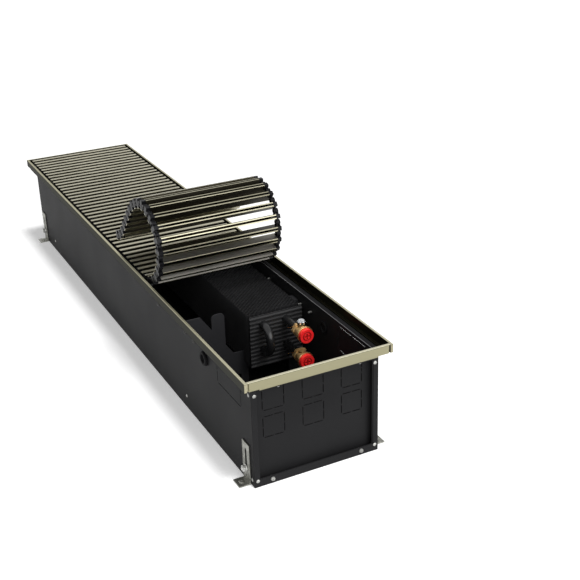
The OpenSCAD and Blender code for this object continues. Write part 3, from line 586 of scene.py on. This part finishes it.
def tube_bend(bm, centre, arm, axis):
    """Half a ring: a circle at centre + arm, spun about axis."""
    across = Vector(arm).normalized()
    ring = bmesh.ops.create_circle(bm, segments=BEND_STEPS, radius=TUBE)["verts"]
    face = Matrix((across, Vector(axis), across.cross(Vector(axis)))).transposed()
    at = Matrix.Translation(Vector(centre) + Vector(arm))
    bmesh.ops.transform(bm, matrix=at @ face.to_4x4(), verts=ring)
    edges = list({e for v in ring for e in v.link_edges})
    bmesh.ops.spin(bm, geom=ring + edges, cent=centre, axis=axis, angle=math.pi,
                   steps=BEND_STEPS, use_merge=False)


bend_low, bend_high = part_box("return_bend_near")
bm = bmesh.new()
middle = ((bend_low[0] + bend_high[0]) / 2, bend_high[1], (bend_low[2] + bend_high[2]) / 2)
reach = (bend_high[2] - bend_low[2]) / 2 - TUBE
tube_bend(bm, middle, (0, 0, reach), (1, 0, 0))
near_bend = piece("near_bend", bm, pipe_coat, "return_bend_near")
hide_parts("return_bend_near")
print("near bend", [round(v, 3) for v in middle], round(reach, 4))

# %% The two bends at the far end
bend_low, bend_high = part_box("return_bends_far")
bm = bmesh.new()
reach = (bend_high[0] - bend_low[0]) / 2 - TUBE
for z in (bend_low[2] + TUBE, bend_high[2] - TUBE):
    middle = ((bend_low[0] + bend_high[0]) / 2, bend_low[1], z)
    tube_bend(bm, middle, (reach, 0, 0), (0, 0, 1))
far_bends = piece("far_bends", bm, pipe_coat, "return_bends_far")
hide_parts("return_bends_far")
print("far bends", round(reach, 4))

# %% [markdown]
# ## The air vent
#
# A small chromed valve stands on the upper tee: a thread, a hexagon for the spanner, and a round
# knob with twelve lobes so that fingers can hold it, its top rounded. Twelve hollows could be cut
# from a cylinder. One circle with every second point pulled in, extruded up and rounded at its
# rim, gives the same lobes with far fewer faces.

# %% An upright bar
def round_bar(bm, radius, bottom, top, segments, centre, lobe=0.0):
    """A closed upright bar, every second point pulled in by lobe."""
    ring = bmesh.ops.create_circle(bm, cap_ends=True, segments=segments, radius=radius)["verts"]
    for v in ring[::2]:
        v.co *= 1 - lobe / radius
    bmesh.ops.translate(bm, vec=(*centre, bottom), verts=ring)
    face = ring[0].link_faces[0]
    up = bmesh.ops.extrude_face_region(bm, geom=[face])["geom"]
    bmesh.ops.translate(bm, vec=(0, 0, top - bottom), verts=points_of(up))

# %% Thread, hexagon and knob
THREAD, HEXAGON, KNOB = 3.4 * MM, 6.7 * MM, 7.75 * MM       # radii
THREAD_LENGTH, HEXAGON_HEIGHT, KNOB_HEIGHT = 6 * MM, 3.5 * MM, 4.9 * MM
LOBE = 1.3 * MM                         # how far the hollows between the lobes go in
RIM, DOME = 0.4 * MM, 1.4 * MM          # rounding of the edges, and of the knob's top
vent_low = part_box("air_vent")[0]
screw_low, screw_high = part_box("air_vent_screw")
centre = [(screw_low[i] + screw_high[i]) / 2 for i in (0, 1)]
hexagon_low = vent_low[2] + THREAD_LENGTH
knob_low = hexagon_low + HEXAGON_HEIGHT
knob_top = knob_low + KNOB_HEIGHT

bm = bmesh.new()
round_bar(bm, THREAD, vent_low[2], hexagon_low + MM, 24, centre)
round_bar(bm, HEXAGON, hexagon_low, knob_low, 6, centre)
round_bar(bm, KNOB, knob_low, knob_top, 24, centre, lobe=LOBE)
rims = [e for e in steep(bm, 60) if abs(e.verts[0].co.z - e.verts[1].co.z) < 0.001 * MM]
top_rim = [e for e in rims if e.verts[0].co.z > knob_top - RIM]
bevel(bm, [e for e in rims if e not in top_rim], RIM)
bevel(bm, top_rim, DOME, segments=3)
vent = piece("air_vent_body", bm, chrome, "air_vent")
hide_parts("air_vent")
print("vent at", [round(v, 4) for v in centre])

# %% [markdown]
# ## Clamp bolts and floor screws
#
# Each foot is clamped by a hexagon bolt, and a screw holds its tab to the floor. A real thread is
# a helix. Rings look the same at this size and are simple to make: a profile of points is spun
# round the bolt's axis. The ridges are a millimetre apart, as on an M6 bolt. The bolt's hexagon
# head lies inside the wall.

# %% Spin an outline, and a thread made with it
def spun(bm, points, centre, axis, steps):
    """A turned piece from the points of its outline."""
    edges = [bm.edges.new(pair) for pair in zip(points, points[1:])]
    bmesh.ops.spin(bm, geom=points + edges, cent=centre, axis=axis, angle=math.tau, steps=steps,
                   use_merge=True)
    bmesh.ops.remove_doubles(bm, verts=bm.verts, dist=0.001 * MM)


def threaded(bm, radius, start_x, end_x, y, z, side):
    """A threaded rod along X with a domed end."""
    pitch, depth = 1.0 * MM, 0.45 * MM
    outline = [(start_x, 0.0), (start_x, radius)]
    for i in range(int((end_x - start_x) / pitch - 1.2)):
        outline.append((start_x + (i + 0.5) * pitch, radius - depth))
        outline.append((start_x + (i + 1) * pitch, radius))
    last = outline[-1][0]
    outline.append((last + 0.5 * (end_x - last), radius * 0.86))
    outline += [(end_x - 0.1 * MM, radius * 0.5), (end_x, 0.0)]
    points = [bm.verts.new((side * x, y, z + r)) for x, r in outline]
    spun(bm, points, (0, y, z), (1, 0, 0), steps=18)

# %% Clamp bolts
BOLT_Y = 576 * MM                       # from the trench's middle
BOLT_RADIUS, HEAD_RADIUS, HEAD_DEPTH = 3.0 * MM, 5.77 * MM, 4 * MM
WALL_INSIDE = WALL_X - 1.5 * MM
ACROSS_X = Matrix.Rotation(math.pi / 2, 3, "Y")     # turns a disc to face along X

bolt_low, bolt_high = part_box("foot_bolts")
bolt_z = (bolt_low[2] + bolt_high[2]) / 2
bm = bmesh.new()
for side in (-1, 1):
    for y in (-BOLT_Y, BOLT_Y):
        threaded(bm, BOLT_RADIUS, WALL_INSIDE - 0.1 * MM, bolt_high[0], y, bolt_z, side)
        ring = bmesh.ops.create_circle(bm, cap_ends=True, segments=6, radius=HEAD_RADIUS)["verts"]
        bmesh.ops.rotate(bm, cent=(0, 0, 0), matrix=ACROSS_X, verts=ring)
        bmesh.ops.translate(bm, vec=(side * WALL_INSIDE, y, bolt_z), verts=ring)
        head = bmesh.ops.extrude_face_region(bm, geom=[ring[0].link_faces[0]])["geom"]
        bmesh.ops.translate(bm, vec=(-side * HEAD_DEPTH, 0, 0), verts=points_of(head))
bolts = piece("clamp_bolts", bm, bolt_steel, "foot_bolts")
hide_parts("foot_bolts")
print("bolts", len(bolts.data.polygons))

# %% Floor screws in the feet's tabs
TAB_INSET = 9 * MM                      # the screw's place behind the tab's end
SHANK_RADIUS, SHANK_LENGTH, SHANK_MIDDLE = 2.4 * MM, 2.4 * MM, 1.3 * MM
# radius and height of a low pan head with its recess, in mm
PAN_HEAD = [(0, 2.1), (5.2, 2.1), (5.0, 2.7), (4.0, 3.3), (2.6, 3.6), (1.6, 3.6), (1.3, 2.6),
            (0, 2.4)]


def floor_screw(name, node):
    """A pan-head screw with a round recess in a foot's tab hole."""
    tab_low, tab_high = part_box(node)
    side = 1 if tab_high[0] > 0 else -1
    outer = tab_high[0] if side > 0 else -tab_low[0]
    centre = Vector((side * (outer - TAB_INSET), (tab_low[1] + tab_high[1]) / 2, 0))
    bm = bmesh.new()
    shank = bmesh.ops.create_cone(bm, cap_ends=True, segments=20, radius1=SHANK_RADIUS,
                                  radius2=SHANK_RADIUS, depth=SHANK_LENGTH)["verts"]
    bmesh.ops.translate(bm, vec=centre + Vector((0, 0, SHANK_MIDDLE)), verts=shank)
    points = [bm.verts.new(centre + Vector((r * MM, 0, z * MM))) for r, z in PAN_HEAD]
    spun(bm, points, centre, (0, 0, 1), steps=24)
    return piece(name, bm, zinc_plate, node)


for corner in ("near_left", "near_right", "far_left", "far_right"):
    screw = floor_screw("floor_screw_" + corner, "foot_" + corner)
    print(screw.name, len(screw.data.polygons))

# %% [markdown]
# ## The roll-up grille
#
# The grille is a chain of 61 slats. A slat is an upturned channel of aluminium, 8 mm wide and
# 18 mm high, and its top runs on over a nylon link at each end. The links hinge on each other like
# the plates of a chain. An Array modifier could repeat them in a row, but not round the roll,
# where each slat turns on its own. So one slat and one pair of links are made lying flat at the
# origin, and copied to their places. A face's index says which of a slat's three finishes it
# takes: 0 is the top and what isn't named here, 1 the two sides, and 2 the channel's inside.

# %% One slat
# in mm: half lengths of the top and of the legs, half width, half height, sheet, toe's width
SLAT = {"half": 115.0, "leg_half": 107.2, "w": 4.0, "h": 9.0, "t": 1.3, "toe": 2.0}


def slat_profile(bm):
    """The faces of a slat's cross-section, at the end of its legs."""
    end, w, h, t, toe = (SLAT[k] * MM for k in ("leg_half", "w", "h", "t", "toe"))

    def at(y, z):
        return bm.verts.new((-end, y, z))

    top = [at(*p) for p in ((-w, h), (w, h), (w, h - t), (w - t, h - t), (-w + t, h - t),
                            (-w, h - t))]
    left = [at(*p) for p in ((-w + t, -h + MM), (-w + toe, -h + MM), (-w + toe, -h), (-w, -h))]
    right = [at(*p) for p in ((w, -h), (w - toe, -h), (w - toe, -h + MM), (w - t, -h + MM))]
    loops = (top, [top[5], top[4]] + left, [top[3], top[2]] + right)
    return [bm.faces.new(loop) for loop in loops]


def number_finishes(bm):
    """Gives each face of a slat the index of its finish."""
    w, h, t = (SLAT[k] * MM for k in ("w", "h", "t"))
    for f in bm.faces:
        middle = f.calc_center_median()
        inside = abs(middle.y) < w - 0.8 * t and -h + 0.1 * MM < middle.z < h - 0.9 * t
        beside = abs(middle.y) > w - 0.1 * MM and -h + 0.5 * MM < middle.z < h - t
        f.material_index = 2 if inside else int(beside)

# %% Pull the profile into a slat
TOP_EDGE, SOLE_EDGE = 0.35 * MM, 0.25 * MM


def slat_shape():
    """A slat at the origin, along X, in metres."""
    bm = bmesh.new()
    half, leg_half, w, h, t = (SLAT[k] * MM for k in ("half", "leg_half", "w", "h", "t"))
    run = bmesh.ops.extrude_face_region(bm, geom=slat_profile(bm), use_keep_orig=True)["geom"]
    bmesh.ops.translate(bm, vec=(2 * leg_half, 0, 0), verts=points_of(run))
    # the top plate goes on past the legs at both ends
    ends = [f for f in bm.faces if abs(f.normal.x) > 0.5
            or f.calc_center_median().x in (-leg_half, leg_half)]
    for f in [f for f in ends if f.calc_center_median().z > h - t]:
        out = math.copysign(half - leg_half, f.calc_center_median().x)
        tip = bmesh.ops.extrude_discrete_faces(bm, faces=[f])["faces"][0]
        bmesh.ops.translate(bm, vec=(out, 0, 0), verts=tip.verts[:])
    bmesh.ops.recalc_face_normals(bm, faces=bm.faces)
    rims = [e for e in steep(bm, 60) if min(v.co.z for v in e.verts) > h - 0.5 * MM]
    bevel(bm, rims, TOP_EDGE)
    soles = [e for e in steep(bm, 60) if max(v.co.z for v in e.verts) < -h + 0.2 * MM
             and abs(e.verts[0].co.y) > w - 0.1 * MM]
    bevel(bm, soles, SOLE_EDGE, segments=1)
    number_finishes(bm)
    return bm


bm = slat_shape()
print("slat faces:", len(bm.faces))
bm.free()

# %% [markdown]
# A link is a block with a tongue on one side and a fork on the other. The tongue of one link turns
# in the fork of the next on a pin. Each hinge eye is a round disc, and an arm joins it to the
# block. A plug on the link's inner side fills the end of the slat's channel. The blocks and discs
# run into each other and aren't joined, because their seams are hidden and few faces are wanted.

# %% Blocks and discs for the links
# in mm: length, play, an eye's radius, an arm's half height, the plug's height above the sole and
# its length, the pin's radius
LINK = {"l": 7.8, "play": 0.3, "eye": 5.0, "arm": 4.0, "rise": 3.0, "plug": 10.0, "pin": 1.5}
PITCH = 20.0                            # mm from one slat to the next
OVERLAP = 0.5                           # mm by which an arm or a plug starts inside its block


def slab(bm, low, high):
    """A box between two corners, in mm."""
    made = bmesh.ops.create_cube(bm, size=1)["verts"]
    bmesh.ops.scale(bm, vec=[(b - a) * MM for a, b in zip(low, high)], verts=made)
    bmesh.ops.translate(bm, vec=[(a + b) / 2 * MM for a, b in zip(low, high)], verts=made)


def eye(bm, x0, x1, y, radius, segments=18):
    """A disc across X between x0 and x1, in mm."""
    made = bmesh.ops.create_cone(bm, cap_ends=True, segments=segments, radius1=radius * MM,
                                 radius2=radius * MM, depth=(x1 - x0) * MM)["verts"]
    bmesh.ops.rotate(bm, cent=(0, 0, 0), matrix=ACROSS_X, verts=made)
    bmesh.ops.translate(bm, vec=((x0 + x1) / 2 * MM, y * MM, 0), verts=made)

# %% One pair of links
LINK_EDGE = 0.35 * MM


def link_shapes(tongue=True, fork=True):
    """The two end links of a slat at the origin."""
    bm = bmesh.new()
    inner, w, h, top = SLAT["leg_half"], SLAT["w"], SLAT["h"], SLAT["h"] - SLAT["t"]
    outer, play, arm = inner + LINK["l"], LINK["play"], LINK["arm"]
    ear = (LINK["l"] - 2 * play) / 3.4
    mid = LINK["l"] - 2 * ear - 2 * play
    slab(bm, (inner, -w, -h), (outer, w, top + 0.02))
    if tongue:
        x = inner + ear + play
        slab(bm, (x, w - OVERLAP, -arm), (x + mid, PITCH / 2, arm))
        eye(bm, x, x + mid, PITCH / 2, LINK["eye"])
    if fork:
        for x in (inner, outer - ear):
            slab(bm, (x, -PITCH / 2, -arm), (x + ear, -w + OVERLAP, arm))
            eye(bm, x, x + ear, -PITCH / 2, LINK["eye"])
    bevel(bm, steep(bm, 60), LINK_EDGE, segments=1)
    if fork:
        # the pin's end shows as a small disc on the outer eye
        eye(bm, outer - 1.0, outer, -PITCH / 2, LINK["pin"], segments=12)
    half = w - SLAT["toe"] - 0.1
    slab(bm, (inner - LINK["plug"], -half, -h + LINK["rise"]), (inner + OVERLAP, half, top))
    bmesh.ops.mirror(bm, geom=bm.verts[:] + bm.edges[:] + bm.faces[:], matrix=Matrix(),
                     merge_dist=-1, axis="X")
    return bm


bm = link_shapes()
print("link pair faces:", len(bm.faces))
bm.free()

# %% Copies of a shape
def copies(*batches):
    """One bmesh of copies; a batch is a shape's bmesh and the places for it."""
    whole = bmesh.new()
    for shape, places in batches:
        bmesh.ops.recalc_face_normals(shape, faces=shape.faces)
        one = bpy.data.meshes.new("one")
        shape.to_mesh(one)
        shape.free()
        for place in places:
            had = len(whole.verts)
            whole.from_mesh(one)
            whole.verts.ensure_lookup_table()
            bmesh.ops.transform(whole, matrix=place, verts=whole.verts[had:])
        bpy.data.meshes.remove(one)
    return whole

# %% [markdown]
# The flat part keeps the CAD's pitch of 20 mm. The last slat at the far end has no tongue, because
# nothing follows it.

# %% The flat part
SLATS, ROLLED = 61, 22
LEVEL = 184.8 * MM                      # the flat slats' middles
# the flat slats' sides take the painted shade
SHADED_FLANK_FINISHES = [slat_metal, slat_flank_painted_shade, slat_channel_painted_shade]
first_y = -(SLATS - 1) / 2 * PITCH * MM

flat = [Matrix.Translation((0, first_y + k * PITCH * MM, LEVEL)) for k in range(ROLLED, SLATS)]
bm = copies((slat_shape(), flat))
flat_slats = piece("flat_slats", bm, SHADED_FLANK_FINISHES, "grille_slats", outward=True)
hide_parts("grille_slats")
bm = copies((link_shapes(), flat[:-1]), (link_shapes(tongue=False), flat[-1:]))
flat_links = piece("flat_links", bm, link_nylon, "grille_links", outward=True)
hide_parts("grille_links")
print("flat part:", len(flat), "slats,", len(flat_links.data.polygons), "link faces")

# %% [markdown]
# The rolled part follows the CAD too: each rolled node is a slat that turns on a pin, so its slope
# and place come from the same list of turns, in degrees, that the CAD uses. The chain rises, goes
# round, runs on nearly straight, and flares out at its end. The first six slats face the light at
# the front, so their sides get the paler painted light, and the others the painted shade.

# %% The rolled part
LIT_FLANK_SLATS = 6
# the first slats' sides take the paler painted light
LIT_FLANK_FINISHES = [slat_metal, slat_flank_painted_light, slat_channel_painted_shade]
TURNS = [10.4] * 4 + [17.0] * 9 + [10.0] * 3 + [0.9] * 4 + [-18.0] * 2
pin = Vector((0, first_y + (ROLLED - 0.5) * PITCH * MM, LEVEL))
slope = 0.0
for number, turn in enumerate(TURNS, 1):
    slope += turn
    turned_by = Matrix.Rotation(-math.radians(slope), 4, "X")
    place = Matrix.Translation(pin) @ turned_by @ Matrix.Translation((0, -PITCH / 2 * MM, 0))
    node = f"roll_slat_{number:02d}"
    finishes = LIT_FLANK_FINISHES if number <= LIT_FLANK_SLATS else SHADED_FLANK_FINISHES
    bm = copies((slat_shape(), [place]))
    slat = piece(f"rolled_slat_{number:02d}", bm, finishes, node, outward=True)
    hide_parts(node)
    bm = copies((link_shapes(fork=number < ROLLED), [place]))
    links = piece(f"rolled_links_{number:02d}", bm, link_nylon, node, outward=True)
    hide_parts(node)
    pin = pin + turned_by.to_3x3() @ Vector((0, -PITCH * MM, 0))
print("rolled part ends at", [round(v, 4) for v in pin])

# %% [markdown]
# ## Floor, light and background
#
# The product stands on plain white. The floor is a wide pale sheet. For the camera and for
# reflections a little of its own light is added, so that it reads as white and still keeps the
# trench's shadow. The light is a soft sun from high above, which casts the short shadow on the
# left, a wide weak panel at the front that reaches into the trench, and an even pale sky. The sun
# isn't mirrored in the metal, because a studio's wide ceiling light leaves no small hot spots
# there.

# %% Rays that see the background
def background_rays(tree):
    """1 for a ray from the camera, or off metal or through glass."""
    seen = add(tree, "LightPath")
    direct = add(tree, "Math", {0: seen.outputs["Is Camera Ray"],
                                1: seen.outputs["Is Glossy Ray"]}, operation="MAXIMUM")
    return add(tree, "Math", {0: direct.outputs[0], 1: seen.outputs["Is Transmission Ray"]},
               operation="MAXIMUM").outputs[0]

# %% Floor
FLOOR_HALF = 40                         # metres from its middle to each edge
FLOOR_DROP = 0.5 * MM                   # keeps the feet's soles clear of the sheet
bm = bmesh.new()
bmesh.ops.create_grid(bm, x_segments=1, y_segments=1, size=FLOOR_HALF)
bmesh.ops.translate(bm, vec=(0, 0, -FLOOR_DROP), verts=bm.verts)
mesh = bpy.data.meshes.new("floor")
bm.to_mesh(mesh)
bm.free()
floor = bpy.data.objects.new("floor", mesh)
bpy.context.scene.collection.objects.link(floor)
print("floor made")

# %% [markdown]
# The sheet's own light grows from about a third under the trench to 1, which is white, where the
# shadow has ended.

# %% The floor's paper
GLOW_FROM, GLOW_TO = 0.9, 3.0           # metres from the trench's middle
GLOW_LEAST = 0.36
paper, tree, shader, place = start("white_paper", 0.0, 0.9)
shader.inputs["Base Color"].default_value = linear("#f2f2f2")
shader.inputs["Specular IOR Level"].default_value = 0.1
far = add(tree, "VectorMath", {0: place}, operation="LENGTH")
grow = add(tree, "MapRange", {0: far.outputs["Value"], 1: GLOW_FROM, 2: GLOW_TO, 3: GLOW_LEAST,
                              4: 1.0}, interpolation_type="SMOOTHSTEP")
glow = add(tree, "Math", {0: background_rays(tree), 1: grow.outputs[0]}, operation="MULTIPLY")
shader.inputs["Emission Color"].default_value = (1, 1, 1, 1)
tree.links.new(glow.outputs[0], shader.inputs["Emission Strength"])
mesh.materials.append(paper)
print("paper made")

# %% Sky
SKY_LIGHT, SKY_SEEN = 0.15, 1.0         # what lights the object, and what is seen behind it
world = bpy.data.worlds.new("studio")
bpy.context.scene.world = world
world.use_nodes = True
tree = world.node_tree
tree.nodes.clear()
direct = background_rays(tree)
dim = add(tree, "Background", {"Color": (1, 1, 1, 1), "Strength": SKY_LIGHT})
white = add(tree, "Background", {"Color": (1, 1, 1, 1), "Strength": SKY_SEEN})
mix = add(tree, "MixShader", {0: direct, 1: dim.outputs[0], 2: white.outputs[0]})
add(tree, "OutputWorld", {"Surface": mix.outputs[0]})
print("sky made")

# %% The panel at the front
PANEL_AT, PANEL_AIM = Vector((0.4, -2.8, 1.5)), Vector((0, -0.4, 0.1))
PANEL_SIZE, PANEL_WATTS = (4.0, 2.4), 76.0
panel = bpy.data.lights.new("front", "AREA")
panel.shape = "RECTANGLE"
panel.size, panel.size_y = PANEL_SIZE
panel.energy = PANEL_WATTS
front = bpy.data.objects.new("front", panel)
bpy.context.scene.collection.objects.link(front)
facing = (PANEL_AT - PANEL_AIM).to_track_quat("Z", "Y").to_matrix().to_4x4()
front.matrix_world = Matrix.Translation(PANEL_AT) @ facing
print("panel made")

# %% The sun
SUN_FROM = Vector((0.10, -0.30, 0.95))
SUN_STRENGTH, SUN_WIDTH = 2.0, math.radians(10)
sun = bpy.data.lights.new("key", "SUN")
sun.energy = SUN_STRENGTH
sun.angle = SUN_WIDTH
key = bpy.data.objects.new("key", sun)
bpy.context.scene.collection.objects.link(key)
key.visible_glossy = False
key.matrix_world = SUN_FROM.to_track_quat("Z", "Y").to_matrix().to_4x4()
bpy.context.scene.view_settings.view_transform = "Standard"
print("sun made")
